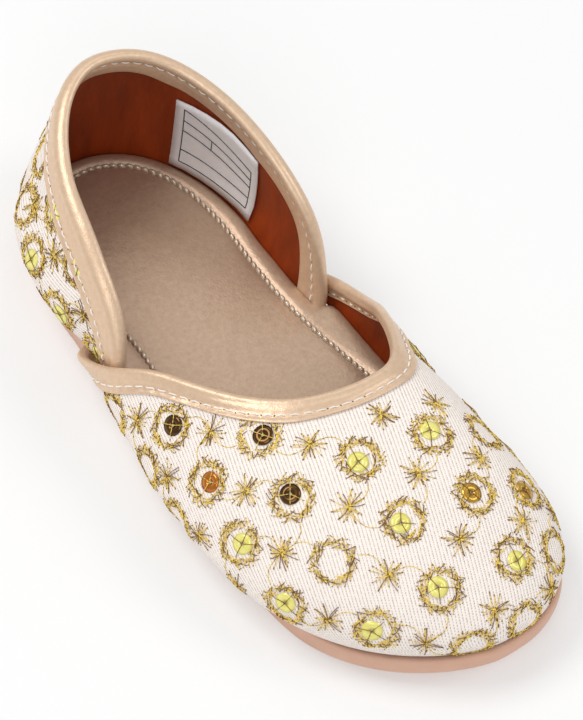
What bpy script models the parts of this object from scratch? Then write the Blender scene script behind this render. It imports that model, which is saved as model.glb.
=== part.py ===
"""Mojari: a soft slip-on shoe with an embroidered upper, right foot, a child's size.

The toe points to -Y, the inner side of the foot is +X, the sole stands on z = 0.
Every section is worked out from one last: an outline on the sole, a spine along
the foot and a crown height over it. A point on the upper has three coordinates:
a runs round the outline, u climbs from the sole (0) to the crest (1), and inset
is how far it lies inside the face of the upper.
"""
import math

import bmesh
import bpy
import numpy as np

MM = 0.001

# The last, in metres
LENGTH = 178 * MM            # heel to toe at the sole line
BALL_WIDTH = 68 * MM         # across the ball of the foot
INSTEP_HEIGHT = 41 * MM      # crest of the upper where the throat opens
COLLAR_HEIGHT = 54.5 * MM     # top of the heel above the floor
TOE_HEIGHT = 26 * MM         # crest over the tip of the toes

# Walls and clearances
VAMP_WALL = 1.1 * MM
QUARTER_WALL = 1.5 * MM
TAPE = 0.4 * MM              # one layer of the binding
GAP = 0.3 * MM               # between pieces that touch
WING_FLARE = 0.7 * MM        # the wings of the vamp stand off the quarter
WING_CLEARANCE = 0.3 * MM    # between the two bindings where they cross
THROAT_LEG = 5.0 * MM        # binding on the outside of the vamp
THROAT_RETURN = 3.5 * MM     # and on its lining
THROAT_PIPING = 0.3 * MM     # how far the roll at the edge stands out from the legs
COLLAR_LEG = 6.8 * MM        # binding on the outside of the quarter
COLLAR_RETURN = 6.8 * MM
COLLAR_PIPING = 0.6 * MM

# Sole and footbed
HEEL_THICKNESS = 8.4 * MM
TREAD_THICKNESS = 6.0 * MM
TOE_SPRING = 5.0 * MM
WAIST_LIFT = 0.8 * MM
WAIST_LIP = -0.5 * MM        # how far the sole stands out from the upper behind the ball
TOE_LIP = 1.7 * MM           # and in front
SOLE_UNDERCUT = 2.0 * MM     # how far the tread is let in behind the ball
INSOLE_THICKNESS = 3.2 * MM
INSOLE_RIM = 4.0 * MM        # padded strip outside the stitched bead
INSOLE_FIT = 0.4 * MM        # between the footbed and the lining

LABEL_THICKNESS = 0.4 * MM
LABEL_LENGTH = 27 * MM
LABEL_HEIGHT = 26 * MM
LABEL_START = 28 * MM        # from the back of the heel

# Where the upper's sections stop being parallel and turn round the heel and toe
HEEL_POLE, TOE_POLE = 0.17, 0.80
# The quarter is let in under the wings of the vamp over this share of the length
# behind the throat line, and ends inside them
TUCK_REACH, QUARTER_END = 0.16, 0.395
FLARE_FULL, FLARE_END = 0.48, 0.68

# Outline: share of LENGTH from the heel; outer and inner half width, shares of BALL_WIDTH
OUTLINE = (
    (0.035, 0.225, 0.235),
    (0.12, 0.370, 0.370),
    (0.25, 0.415, 0.425),
    (0.40, 0.440, 0.447),
    (0.55, 0.508, 0.470),
    (0.70, 0.526, 0.484),
    (0.83, 0.475, 0.503),
    (0.93, 0.300, 0.436),
    (0.98, 0.117, 0.293),
)
TOE_OFFSET = 0.050           # tip of the toe towards the inner side, share of BALL_WIDTH
# Spine: share along, sideways place as a share of BALL_WIDTH
SPINE = ((0.0, 0.0), (0.3, 0.02), (0.6, 0.035), (0.8, 0.035), (1.0, 0.03))
# Crown over the spine: share along, height as a share of INSTEP_HEIGHT. Behind the
# throat it only shapes the side walls, which end at the collar.
CROWN = ((0.0, 2.05), (0.15, 1.87), (0.3, 1.62), (0.45, 1.06), (0.6, 1.01),
         (0.75, 0.94), (0.9, 0.752))
# Fullness of the sections: share along, power in plan outside and inside, power in height
FULLNESS = ((0.0, 0.60, 0.60, 1.0), (0.12, 1.25, 0.46, 1.0), (0.3, 1.10, 0.47, 0.98),
            (0.45, 0.62, 0.56, 0.97), (0.6, 0.64, 0.66, 0.96), (0.85, 0.75, 0.74, 0.82), (1.0, 0.80, 0.80, 0.80))
# Swell of the wall between sole and crest: share along, outer side, inner side, in metres
SWELL = ((0.0, 2.3 * MM, 1.2 * MM), (0.12, 6.6 * MM, 2.2 * MM), (0.3, 11.2 * MM, 3.6 * MM),
         (0.55, 12.3 * MM, 3.1 * MM), (0.75, 10.9 * MM, 4.5 * MM), (0.9, 4.5 * MM, 3.4 * MM),
         (1.0, 1.9 * MM, 1.9 * MM))
# Collar line from the heel down to the sole: share along, height as a share of COLLAR_HEIGHT
COLLAR = ((0.0, 1.0), (0.1, 0.90), (0.2, 0.815), (0.28, 0.715), (0.34, 0.55), (0.37, 0.40))
# Throat line: share of the climb, share along on the outer side and on the inner side
THROAT = ((0.0, 0.283, 0.330), (0.2, 0.376, 0.450), (0.4, 0.434, 0.505), (0.6, 0.509, 0.570),
          (0.8, 0.598, 0.628), (1.0, 0.640, 0.640))

OUTER, INNER = 0, 1


def smoothstep(low, high, x):
    k = np.clip((x - low) / (high - low), 0.0, 1.0)
    return k * k * (3 - 2 * k)


def spline(xs, ys, closed=False):
    """Cubic through the points; a closed one repeats after its last x."""
    xs, ys = np.asarray(xs, float), np.asarray(ys, float)
    n, h = len(ys), np.diff(xs)
    a, b = np.zeros((n, n)), np.zeros((n,) + ys.shape[1:])
    for i in range(n):
        if not closed and i in (0, n - 1):
            a[i, i] = 1.0
            continue
        before, after = h[i - 1] if not closed else h[(i - 1) % n], h[i]
        a[i, (i - 1) % n] += before
        a[i, i] += 2 * (before + after)
        a[i, (i + 1) % n] += after
        b[i] = 6 * ((ys[(i + 1) % n] - ys[i]) / after - (ys[i] - ys[i - 1]) / before)
    m = np.linalg.solve(a, b)
    if closed:
        m, ys = np.concatenate([m, m[:1]]), np.concatenate([ys, ys[:1]])

    def value(x):
        x = np.asarray(x, float)
        x = (x - xs[0]) % (xs[-1] - xs[0]) + xs[0] if closed else np.clip(x, xs[0], xs[-1])
        k = np.clip(np.searchsorted(xs, x, side='right') - 1, 0, len(h) - 1)
        step, left, right = h[k], (xs[k + 1] - x) / h[k], (x - xs[k]) / h[k]
        if ys.ndim > 1:
            step, left, right = step[..., None], left[..., None], right[..., None]
        bend = (left ** 3 - left) * m[k] + (right ** 3 - right) * m[k + 1]
        return left * ys[k] + right * ys[k + 1] + bend * step ** 2 / 6
    return value


def column(table, index, scale=1.0):
    return spline([row[0] for row in table], [row[index] * scale for row in table])


def y_at(share):
    return LENGTH / 2 - share * LENGTH


def share_at(y):
    return (LENGTH / 2 - y) / LENGTH


spine_x = column(SPINE, 1, BALL_WIDTH)
crown = column(CROWN + ((1.0, TOE_HEIGHT / INSTEP_HEIGHT),), 1, INSTEP_HEIGHT)
plan_power, rise_power = (column(FULLNESS, 1), column(FULLNESS, 2)), column(FULLNESS, 3)
swell = (column(SWELL, 1), column(SWELL, 2))
throat_share = (column(THROAT, 1), column(THROAT, 2))


def ground(share):
    """Underside of the sole: flat at heel and ball, lifted at the waist and the toe."""
    waist = smoothstep(0.33, 0.42, share) * (1 - smoothstep(0.48, 0.57, share))
    toe = np.clip((share - 0.74) / (1 - 0.74), 0, 1) ** 2
    return WAIST_LIFT * waist + TOE_SPRING * toe


def sole_top(share):
    wedge = 1 - smoothstep(0.15, 0.60, share)
    return TREAD_THICKNESS + (HEEL_THICKNESS - TREAD_THICKNESS) * wedge + TOE_SPRING * np.clip(
        (share - 0.74) / (1 - 0.74), 0, 1) ** 2


def lip(share):
    return WAIST_LIP + (TOE_LIP - WAIST_LIP) * smoothstep(0.75, 0.95, share)


def undercut(share):
    return SOLE_UNDERCUT * (1 - smoothstep(0.66, 0.90, share))


def wing_room(share):
    """The sole widens under the wings of the vamp."""
    return WING_FLARE * smoothstep(0.22, 0.30, share) * (1 - smoothstep(FLARE_FULL, FLARE_END, share))


def feather(share):
    """Lower edge of the upper and of the footbed."""
    return sole_top(share) + GAP


def make_outline():
    rows = [(0.0, 0.0)] + [(s, -w) for s, w, _ in OUTLINE] + [(1.0, TOE_OFFSET)]
    rows += [(s, w) for s, _, w in reversed(OUTLINE)]
    points = np.array([(w * BALL_WIDTH, y_at(s)) for s, w in rows])
    steps = np.linalg.norm(np.diff(np.concatenate([points, points[:1]]), axis=0), axis=1)
    places = np.concatenate([[0], np.cumsum(steps)]) / steps.sum()
    return spline(places, points, closed=True)


outline = make_outline()
_round = np.linspace(0, 1, 2001)
_shares = share_at(outline(_round)[:, 1])
_tip = int(np.argmax(_shares))
_length = np.concatenate([[0], np.cumsum(np.linalg.norm(np.diff(outline(_round), axis=0), axis=1))])


def outward(a):
    step = 0.001
    d = outline(a + step) - outline(a - step)
    n = np.stack([-d[..., 1], d[..., 0]], -1)
    n /= np.linalg.norm(n, axis=-1, keepdims=True)
    return -n


def round_at(side, share):
    """Place on the outline at a share of the length, on the outer or inner side."""
    share = np.clip(share, 0.0, _shares[_tip])
    if side == OUTER:
        return np.interp(share, _shares[:_tip + 1], _round[:_tip + 1])
    return np.interp(share, _shares[_tip:][::-1], _round[_tip:][::-1])


def girth_at(side, share):
    """Distance round the outline from the back of the heel."""
    run = np.interp(round_at(side, share), _round, _length)
    return run if side == OUTER else _length[-1] - run


def round_at_girth(side, girth):
    return np.interp(girth if side == OUTER else _length[-1] - girth, _length, _round)


def centre_of(share):
    kept = np.clip(share, HEEL_POLE, TOE_POLE)
    return kept, np.stack([spine_x(kept), y_at(kept)], -1)


def wall(a, u, inset=0.0):
    """Point on the upper."""
    a, u, inset = np.broadcast_arrays(np.asarray(a, float), u, inset)
    edge = outline(a)
    share = share_at(edge[..., 1])
    kept, centre = centre_of(share)
    side = edge[..., 0] < centre[..., 0]
    edge = edge - outward(a) * inset[..., None]
    power = np.where(side, plan_power[OUTER](share), plan_power[INNER](share))
    reach = np.clip(np.cos(u * math.pi / 2), 0, 1) ** power
    rise = np.sin(u * math.pi / 2) ** rise_power(share)
    arm = edge - centre
    size = np.where(side, swell[OUTER](share), swell[INNER](share))
    size = size * np.sin(math.pi * (np.sqrt(u + 0.01) - 0.1) / 0.905) * (1 - u) ** 1.6
    arm = arm * (reach + size / np.linalg.norm(arm, axis=-1))[..., None]
    over = np.where(share > TOE_POLE, kept + (share - kept) * reach, kept)
    low = feather(share)
    z = low + (crown(over) - inset - low) * rise
    return np.concatenate([centre + arm, z[..., None]], -1)


def climb_at(a, z, inset=0.0):
    """The u at which the wall reaches a height."""
    share = share_at(outline(a)[..., 1])
    low = feather(share)
    top = crown(np.clip(share, HEEL_POLE, TOE_POLE)) - inset
    return np.arcsin(np.clip((z - low) / (top - low), 0, 1) ** (1 / rise_power(share))) * 2 / math.pi


def vamp_face(share):
    """Inset of the vamp's outer face: its wings flare a little."""
    return -WING_FLARE * (1 - smoothstep(FLARE_FULL, FLARE_END, share))


def quarter_point(side, a, z, depth=0.0):
    """Point on a layer of the quarter, let in where the wings of the vamp lie over it."""
    share = share_at(outline(a)[..., 1])
    tuck = VAMP_WALL + 2 * (GAP + TAPE) + THROAT_PIPING + COLLAR_PIPING + WING_CLEARANCE - WING_FLARE
    edge = throat_share[side](climb_at(a, z))
    inset = depth + tuck * smoothstep(edge - TUCK_REACH, edge - 0.1 * TUCK_REACH, share)
    return wall(a, climb_at(a, z, inset), inset)


def make_collar():
    """The collar line: share along and height, from the heel to the sole."""
    rows = np.array([(s * LENGTH, h * COLLAR_HEIGHT) for s, h in COLLAR]
                    + [(QUARTER_END * LENGTH, feather(QUARTER_END))])
    run = np.concatenate([[0], np.cumsum(np.linalg.norm(np.diff(rows, axis=0), axis=1))])
    line = spline(run / run[-1], rows)
    return lambda s: (line(s)[..., 0] / LENGTH, line(s)[..., 1])


collar = make_collar()


def collar_columns(side, count=22):
    """Steps along the collar, closer at its end: distance round the heel, height, and the way into the quarter."""
    def at(s):
        share, z = collar(s)
        return np.stack([girth_at(side, share), z], -1)
    fine = np.linspace(0, 1, 400)
    run = np.concatenate([[0], np.cumsum(np.linalg.norm(np.diff(at(fine), axis=0), axis=1))])
    steps = run[-1] * (1 - np.linspace(1, 0, count + 1) ** 1.2)
    even = np.interp(steps, run, fine)
    ahead = at(np.clip(even + 0.01, 0, 1)) - at(np.clip(even - 0.01, 0, 1))
    ahead[0] = (1.0, 0.0)
    ahead /= np.linalg.norm(ahead, axis=-1, keepdims=True)
    return at(even), np.stack([ahead[:, 1], -ahead[:, 0]], -1)


def footbed_edge(side, share):
    """Inset of the footbed: inside the quarter and its binding, then inside the vamp."""
    tuck = VAMP_WALL + 2 * (GAP + TAPE) + THROAT_PIPING + COLLAR_PIPING + WING_CLEARANCE - WING_FLARE
    edge = throat_share[side](0.0)
    behind = tuck * smoothstep(edge - TUCK_REACH, edge - 0.1 * TUCK_REACH, share) + QUARTER_WALL
    behind += (GAP + TAPE + COLLAR_PIPING) * smoothstep(0.24, 0.31, share)
    k = smoothstep(QUARTER_END + 0.012, QUARTER_END + 0.15, share)
    return behind * (1 - k) + (VAMP_WALL + vamp_face(share) + GAP) * k + INSOLE_FIT


def throat_rate(side, u):
    """Share of the length for each metre of binding width, square to the throat line."""
    step = 0.01
    share = throat_share[side](u)
    here = wall(round_at(side, share), u)
    ahead = (wall(round_at(side, share + step), u) - here) / step
    low, high = np.clip(u - step, 0, 1), np.clip(u + step, 0, 1)
    line = (wall(round_at(side, throat_share[side](high)), high)
            - wall(round_at(side, throat_share[side](low)), low))
    line /= np.linalg.norm(line, axis=-1, keepdims=True)
    size = np.linalg.norm(ahead, axis=-1)
    square = np.linalg.norm(np.cross(line, ahead), axis=-1) / size
    return 1 / (size * np.clip(square, 0.35, 1.0))


# Rows across a binding's outer leg, shared by the piece under it: shares of the leg
BAND_ROWS = (0.0, 0.2, 0.45, 0.7, 1.0)


def binding_section(leg, back, wall_size, piping):
    """Two matching lines of (distance into the piece, inset from its face): outside, inside."""
    lines = []
    for off, swollen in ((GAP + TAPE, piping), (GAP, 0.0)):
        half = wall_size / 2 + off
        r = half + swollen
        start = math.asin(half / r)
        turns = np.linspace(start - math.pi, math.pi - start, 7)
        line = [(leg * k, -off) for k in BAND_ROWS[:0:-1]]
        line += [(-r * math.cos(t), wall_size / 2 + r * math.sin(t)) for t in turns]
        line += [(leg * k, wall_size + off) for k in BAND_ROWS[1:] if leg * k < 0.95 * back]
        line += [(back, wall_size + off)]
        lines.append(np.array(line))
    return lines


def new_object(name, bm, colour, roughness, metallic=0.0, merge=0.01 * MM):
    bmesh.ops.remove_doubles(bm, verts=bm.verts, dist=merge)
    bmesh.ops.dissolve_degenerate(bm, edges=bm.edges, dist=merge)
    bmesh.ops.recalc_face_normals(bm, faces=bm.faces)
    mesh = bpy.data.meshes.new(name)
    bm.to_mesh(mesh)
    bm.free()
    mesh.shade_smooth()
    mesh.set_sharp_from_angle(angle=math.radians(40))
    material = bpy.data.materials.new(name)
    material.use_nodes = True
    shader = material.node_tree.nodes["Principled BSDF"]
    shader.inputs["Base Color"].default_value = (*colour, 1)
    shader.inputs["Roughness"].default_value = roughness
    shader.inputs["Metallic"].default_value = metallic
    material.diffuse_color = (*colour, 1)
    mesh.materials.append(material)
    obj = bpy.data.objects.new(name, mesh)
    bpy.context.collection.objects.link(obj)
    return obj


def add_points(bm, points):
    """A grid of vertices, as nested lists."""
    if points.ndim == 1:
        return bm.verts.new(points)
    return [add_points(bm, p) for p in points]


def add_quads(bm, grid):
    for row, above in zip(grid, grid[1:]):
        for i in range(len(row) - 1):
            bm.faces.new((row[i], row[i + 1], above[i + 1], above[i]))


def shell(face, lining):
    """Closed wall between two grids of the same size."""
    bm = bmesh.new()
    outer, inner = add_points(bm, face), add_points(bm, lining)
    add_quads(bm, outer)
    add_quads(bm, inner)
    for i, j in ((0, 0), (-1, -1)):
        add_quads(bm, [outer[i], inner[i]])
        add_quads(bm, [[row[j] for row in outer], [row[j] for row in inner]])
    return bm


def rings(levels):
    """Closed body from rings, from the middle of one face to the middle of the other."""
    bm = bmesh.new()
    grid = add_points(bm, np.array(levels))
    add_quads(bm, [ring + ring[:1] for ring in grid])
    return bm


def vamp_rows(count=16):
    return np.linspace(0, 1, count + 1) ** 1.25


def vamp_grid(depth, forward=16):
    """The vamp at a depth under its outer face, from throat to toe and back on the inner side."""
    rows = []
    crest_rate = (throat_rate(OUTER, 1.0) + throat_rate(INNER, 1.0)) / 2
    for u in vamp_rows():
        sides = []
        for side in (OUTER, INNER):
            rate = crest_rate if u == 1 else throat_rate(side, u)
            start = throat_share[side](u)
            shares = start + THROAT_LEG * rate * np.array(BAND_ROWS)
            ahead = 1 - np.linspace(1, 0, forward + 1)[1:]
            tail = shares[-1] + (1 - shares[-1]) * (1 - (1 - ahead) ** 2)
            shares = np.concatenate([shares, tail])
            points = wall(round_at(side, shares), u, vamp_face(shares) + depth)
            sides.append(points)
        rows.append(np.concatenate([sides[0], sides[1][::-1][1:]]))
    return np.array(rows)


def make_vamp():
    bm = bmesh.new()
    grids = [vamp_grid(0.0), vamp_grid(VAMP_WALL)]
    outer, inner = (add_points(bm, g) for g in grids)
    add_quads(bm, outer)
    add_quads(bm, inner)
    add_quads(bm, [outer[0], inner[0]])
    for j in (0, -1):
        add_quads(bm, [[row[j] for row in outer], [row[j] for row in inner]])
    return new_object("vamp", bm, (0.84, 0.74, 0.62), 0.75)


def make_vamp_binding():
    lines = binding_section(THROAT_LEG, THROAT_RETURN, VAMP_WALL, THROAT_PIPING)
    crest_rate = (throat_rate(OUTER, 1.0) + throat_rate(INNER, 1.0)) / 2
    grids = []
    for line in lines:
        rows = []
        for side in (OUTER, INNER):
            rows_u = vamp_rows() if side == OUTER else vamp_rows()[::-1][1:]
            for u in rows_u:
                rate = crest_rate if u == 1 else throat_rate(side, u)
                shares = throat_share[side](u) + line[:, 0] * rate
                rows.append(wall(round_at(side, shares), u, vamp_face(shares) + line[:, 1]))
        grids.append(np.array(rows))
    return new_object("vamp_binding", shell(*grids), (0.55, 0.38, 0.24), 0.45, 0.2)


def quarter_grid(depth, below=6):
    """Rows under the binding square to the collar line, then straight down to the sole."""
    sides = []
    for side in (OUTER, INNER):
        line, into = collar_columns(side)
        grid = []
        for k in BAND_ROWS:
            place = line + into * COLLAR_LEG * k
            grid.append((place[:, 0], place[:, 1]))
        girth, height = grid[-1]
        low = feather(share_at(outline(round_at_girth(side, girth))[:, 1]))
        top = np.maximum(height, low)
        for k in range(1, below + 1):
            grid.append((girth, low + (top - low) * (1 - k / below) ** 1.3))
        points = [quarter_point(side, round_at_girth(side, g), z, depth) for g, z in grid]
        sides.append(np.array(points).transpose(1, 0, 2))
    return np.concatenate([sides[OUTER][::-1], sides[INNER][1:]])


def make_quarter():
    return new_object("quarter", shell(quarter_grid(0.0), quarter_grid(QUARTER_WALL)),
                      (0.84, 0.74, 0.62), 0.75)


def make_quarter_binding():
    grids = []
    for section in binding_section(COLLAR_LEG, COLLAR_RETURN, QUARTER_WALL, COLLAR_PIPING):
        sides = []
        for side in (OUTER, INNER):
            line, into = collar_columns(side)
            place = line[:, None] + into[:, None] * section[None, :, :1]
            points = quarter_point(side, round_at_girth(side, place[..., 0]), place[..., 1], section[:, 1])
            sides.append(points)
        grids.append(np.concatenate([sides[OUTER][::-1], sides[INNER][1:]]))
    return new_object("quarter_binding", shell(*grids), (0.55, 0.38, 0.24), 0.45, 0.2)


def ring_columns(count=34):
    """Places round the outline, in pairs at the same share on both sides."""
    k = np.linspace(0, math.pi, count + 1)
    shares = (1 - np.cos(k)) / 2
    outer = round_at(OUTER, shares)
    inner = round_at(INNER, shares)
    outer[0] = 0.0
    return np.concatenate([outer, inner[::-1][1:-1]])


def plan_ring(a, inset, shrink=1.0):
    """Outline moved in by an inset, then drawn towards the spine."""
    edge = outline(a)
    _, centre = centre_of(share_at(edge[..., 1]))
    edge = edge - outward(a) * np.asarray(inset)[..., None]
    return centre + (edge - centre) * shrink


def make_outsole():
    a = ring_columns()
    levels = []
    for shrink in (0.0, 0.35, 0.7):
        xy = plan_ring(a, 0 * a, shrink)
        levels.append(np.column_stack([xy, ground(share_at(xy[:, 1]))]))
    # Side of the sole: share of the lip, share of the height
    side = ((-0.3, 0.0), (0.45, 0.06), (0.85, 0.28), (1.0, 0.58), (0.92, 0.86), (0.5, 1.0))
    share = share_at(outline(a)[:, 1])
    low, high = ground(share), sole_top(share)
    for reach, height in side:
        xy = plan_ring(a, undercut(share) * (1 - height) - wing_room(share) - lip(share) * reach)
        levels.append(np.column_stack([xy, low + (high - low) * height]))
    for shrink in (0.93, 0.6, 0.3, 0.0):
        xy = plan_ring(a, 0 * a, shrink)
        levels.append(np.column_stack([xy, sole_top(share_at(xy[:, 1]))]))
    return new_object("outsole", rings(levels), (0.50, 0.28, 0.19), 0.5)


def make_insole():
    a = ring_columns()
    share = share_at(outline(a)[:, 1])
    edge = np.where(a < _round[_tip], footbed_edge(OUTER, share), footbed_edge(INNER, share))
    levels = []

    def ring(inset, shrink, height):
        xy = plan_ring(a, edge + inset, shrink)
        levels.append(np.column_stack([xy, feather(share_at(xy[:, 1])) + height]))

    for shrink in (0.0, 0.4, 0.8):
        ring(0.0, shrink, 0.0)
    ring(0.3 * MM, 1.0, 0.0)
    ring(0.0, 1.0, 0.3 * MM)
    # Rim: share of its width, share of the thickness
    for across, height in ((0.0, 0.72), (0.12, 0.92), (0.45, 1.0), (0.8, 0.92), (1.0, 0.80), (1.2, 0.80)):
        ring(INSOLE_RIM * across, 1.0, INSOLE_THICKNESS * height)
    for shrink in (0.7, 0.35, 0.0):
        ring(INSOLE_RIM * 1.2 * shrink, shrink, INSOLE_THICKNESS * 0.80)
    return new_object("insole", rings(levels), (0.40, 0.28, 0.19), 0.5, 0.2)


def make_size_label():
    """Woven label on the lining, on the inner side near the heel."""
    line, into = collar_columns(INNER)
    band = line + into * (COLLAR_RETURN + GAP + 0.7 * MM)
    grids = []
    for depth in (QUARTER_WALL + 2 * GAP, QUARTER_WALL + 2 * GAP + LABEL_THICKNESS):
        rows = []
        for girth in LABEL_START + np.linspace(0, 1, 7) * LABEL_LENGTH:
            a = round_at_girth(INNER, girth)
            low = feather(share_at(outline(a)[1])) + INSOLE_THICKNESS
            top = min(low + LABEL_HEIGHT, np.interp(girth, band[:, 0], band[:, 1]))
            heights = low + np.linspace(0, 1, 6) * (top - low)
            rows.append(quarter_point(INNER, np.full(6, a), heights, depth))
        grids.append(np.array(rows))
    return new_object("size_label", shell(*grids), (0.8, 0.8, 0.8), 0.6)


def main():
    for obj in list(bpy.data.objects):
        bpy.data.objects.remove(obj, do_unlink=True)
    pieces = [make_outsole(), make_insole(), make_vamp(), make_quarter(),
              make_vamp_binding(), make_quarter_binding(), make_size_label()]
    corners = np.array([v.co for p in pieces for v in p.data.vertices])
    middle = (corners.min(axis=0) + corners.max(axis=0)) / 2
    shoe = bpy.data.objects.new("shoe", None)
    bpy.context.collection.objects.link(shoe)
    shoe.location = (-middle[0], -middle[1], 0)
    for piece in pieces:
        piece.parent = shoe
    for piece in pieces:
        print(piece.name, len(piece.data.polygons), sum(len(p.vertices) - 2 for p in piece.data.polygons))
    print("moved", shoe.location[:])


if __name__ == "__main__":
    main()
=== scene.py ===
"""Mojari shoe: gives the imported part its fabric, embroidery, stitching and footbed.

Run as a script: the part is loaded as a fixed frame, one operator adds each
finished piece, and the shoe stands on a pale floor under soft studio light.
"""
import math
import random

import bmesh
import bpy
import numpy as np
from bpy.props import FloatProperty, IntProperty, PointerProperty, StringProperty
from mathutils import Matrix, Vector
from mathutils.bvhtree import BVHTree
from mathutils.kdtree import KDTree


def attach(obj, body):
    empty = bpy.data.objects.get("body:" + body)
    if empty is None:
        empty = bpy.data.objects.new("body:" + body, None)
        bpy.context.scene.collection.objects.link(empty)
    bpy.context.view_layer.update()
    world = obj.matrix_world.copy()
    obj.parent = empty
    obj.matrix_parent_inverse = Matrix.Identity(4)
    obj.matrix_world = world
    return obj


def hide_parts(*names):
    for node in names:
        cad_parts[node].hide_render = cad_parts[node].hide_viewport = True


bl_info = {
    "name": "Mojari shoe",
    "version": (1, 0, 0),
    "blender": (4, 5, 0),
    "location": "View3D > Sidebar > Mojari",
    "description": "Finishes an embroidered slip-on shoe around its packed part",
    "category": "Object",
}

MM = 0.001
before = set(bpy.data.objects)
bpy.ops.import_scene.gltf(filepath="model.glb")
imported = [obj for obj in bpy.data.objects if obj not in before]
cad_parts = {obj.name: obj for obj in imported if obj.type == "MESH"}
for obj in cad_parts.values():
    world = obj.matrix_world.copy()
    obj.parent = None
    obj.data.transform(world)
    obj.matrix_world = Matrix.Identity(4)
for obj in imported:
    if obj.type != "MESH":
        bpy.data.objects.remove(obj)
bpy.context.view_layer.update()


# The last, as the part's source has it, in metres

LENGTH, BALL_WIDTH, INSTEP_HEIGHT = 178 * MM, 68 * MM, 41 * MM
COLLAR_HEIGHT, TOE_HEIGHT = 54.5 * MM, 26 * MM
HEEL_THICKNESS, TREAD_THICKNESS, TOE_SPRING = 8.4 * MM, 6.0 * MM, 5.0 * MM
VAMP_WALL, QUARTER_WALL, TAPE, GAP = 1.1 * MM, 1.5 * MM, 0.4 * MM, 0.3 * MM
WING_FLARE, WING_CLEARANCE = 0.7 * MM, 0.3 * MM
THROAT_PIPING, COLLAR_PIPING = 0.3 * MM, 0.6 * MM
HEEL_POLE, TOE_POLE = 0.17, 0.80
TUCK_REACH, QUARTER_END = 0.16, 0.395
LABEL_START, LABEL_LENGTH = 28 * MM, 27 * MM  # round the girth, from the back of the heel
FLARE_FULL, FLARE_END = 0.48, 0.68
INSOLE_THICKNESS, INSOLE_RIM, INSOLE_FIT = 3.2 * MM, 4.0 * MM, 0.4 * MM
OVER_FOOTBED = 16 * MM                        # a height that clears the footbed
PLACE = np.array((3.41, 0.26, 0.0)) * MM      # from the last's frame to the part's
OUTER, INNER = 0, 1
# Rows of a table start with a share of the length, or of the climb for THROAT. What follows
# is for the outer and the inner side, or along the spine
OUTLINE = ((0.035, 0.225, 0.235), (0.12, 0.370, 0.370), (0.25, 0.415, 0.425), (0.40, 0.440, 0.447),
           (0.55, 0.508, 0.470), (0.70, 0.526, 0.484), (0.83, 0.475, 0.503), (0.93, 0.300, 0.436),
           (0.98, 0.117, 0.293))
TOE_OFFSET = 0.050
SPINE = ((0.0, 0.0), (0.3, 0.02), (0.6, 0.035), (0.8, 0.035), (1.0, 0.03))
CROWN = ((0.0, 2.05), (0.15, 1.87), (0.3, 1.62), (0.45, 1.06), (0.6, 1.01), (0.75, 0.94), (0.9, 0.752),
         (1.0, TOE_HEIGHT / INSTEP_HEIGHT))
FULLNESS = ((0.0, 0.60, 0.60, 1.0), (0.12, 1.25, 0.46, 1.0), (0.3, 1.10, 0.47, 0.98),
            (0.45, 0.62, 0.56, 0.97), (0.6, 0.64, 0.66, 0.96), (0.85, 0.75, 0.74, 0.82),
            (1.0, 0.80, 0.80, 0.80))
SWELL = ((0.0, 2.3 * MM, 1.2 * MM), (0.12, 6.6 * MM, 2.2 * MM), (0.3, 11.2 * MM, 3.6 * MM),
         (0.55, 12.3 * MM, 3.1 * MM), (0.75, 10.9 * MM, 4.5 * MM), (0.9, 4.5 * MM, 3.4 * MM),
         (1.0, 1.9 * MM, 1.9 * MM))
COLLAR = ((0.0, 1.0), (0.1, 0.90), (0.2, 0.815), (0.28, 0.715), (0.34, 0.55), (0.37, 0.40))
THROAT = ((0.0, 0.283, 0.330), (0.2, 0.376, 0.450), (0.4, 0.434, 0.505), (0.6, 0.509, 0.570),
          (0.8, 0.598, 0.628), (1.0, 0.640, 0.640))


def smoothstep(low, high, x):
    k = np.clip((x - low) / (high - low), 0.0, 1.0)
    return k * k * (3 - 2 * k)


def spline(xs, ys, closed=False):
    """Cubic through the points; a closed one repeats after its last x."""
    xs, ys = np.asarray(xs, float), np.asarray(ys, float)
    n, h = len(ys), np.diff(xs)
    a, b = np.zeros((n, n)), np.zeros((n,) + ys.shape[1:])
    for i in range(n):
        if not closed and i in (0, n - 1):
            a[i, i] = 1.0
            continue
        before, after = h[(i - 1) % len(h)], h[i]
        a[i, (i - 1) % n] += before
        a[i, i] += 2 * (before + after)
        a[i, (i + 1) % n] += after
        b[i] = 6 * ((ys[(i + 1) % n] - ys[i]) / after - (ys[i] - ys[i - 1]) / before)
    m = np.linalg.solve(a, b)
    if closed:
        m, ys = np.concatenate([m, m[:1]]), np.concatenate([ys, ys[:1]])

    def value(x):
        x = np.asarray(x, float)
        x = (x - xs[0]) % (xs[-1] - xs[0]) + xs[0] if closed else np.clip(x, xs[0], xs[-1])
        k = np.clip(np.searchsorted(xs, x, side='right') - 1, 0, len(h) - 1)
        step, left, right = h[k], (xs[k + 1] - x) / h[k], (x - xs[k]) / h[k]
        if ys.ndim > 1:
            step, left, right = step[..., None], left[..., None], right[..., None]
        bend = (left ** 3 - left) * m[k] + (right ** 3 - right) * m[k + 1]
        return left * ys[k] + right * ys[k + 1] + bend * step ** 2 / 6
    return value


def column(table, index, scale=1.0):
    return spline([row[0] for row in table], [row[index] * scale for row in table])


def share_at(y):
    return (LENGTH / 2 - y) / LENGTH


def run_along(points):
    """How far along a line each of its points is."""
    return np.concatenate([[0], np.cumsum(np.linalg.norm(np.diff(points, axis=0), axis=-1))])


def unit(vectors):
    return vectors / np.linalg.norm(vectors, axis=-1, keepdims=True)


spine_x, crown = column(SPINE, 1, BALL_WIDTH), column(CROWN, 1, INSTEP_HEIGHT)
plan_power, rise_power = (column(FULLNESS, 1), column(FULLNESS, 2)), column(FULLNESS, 3)
swell = (column(SWELL, 1), column(SWELL, 2))
throat_share = (column(THROAT, 1), column(THROAT, 2))


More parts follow.
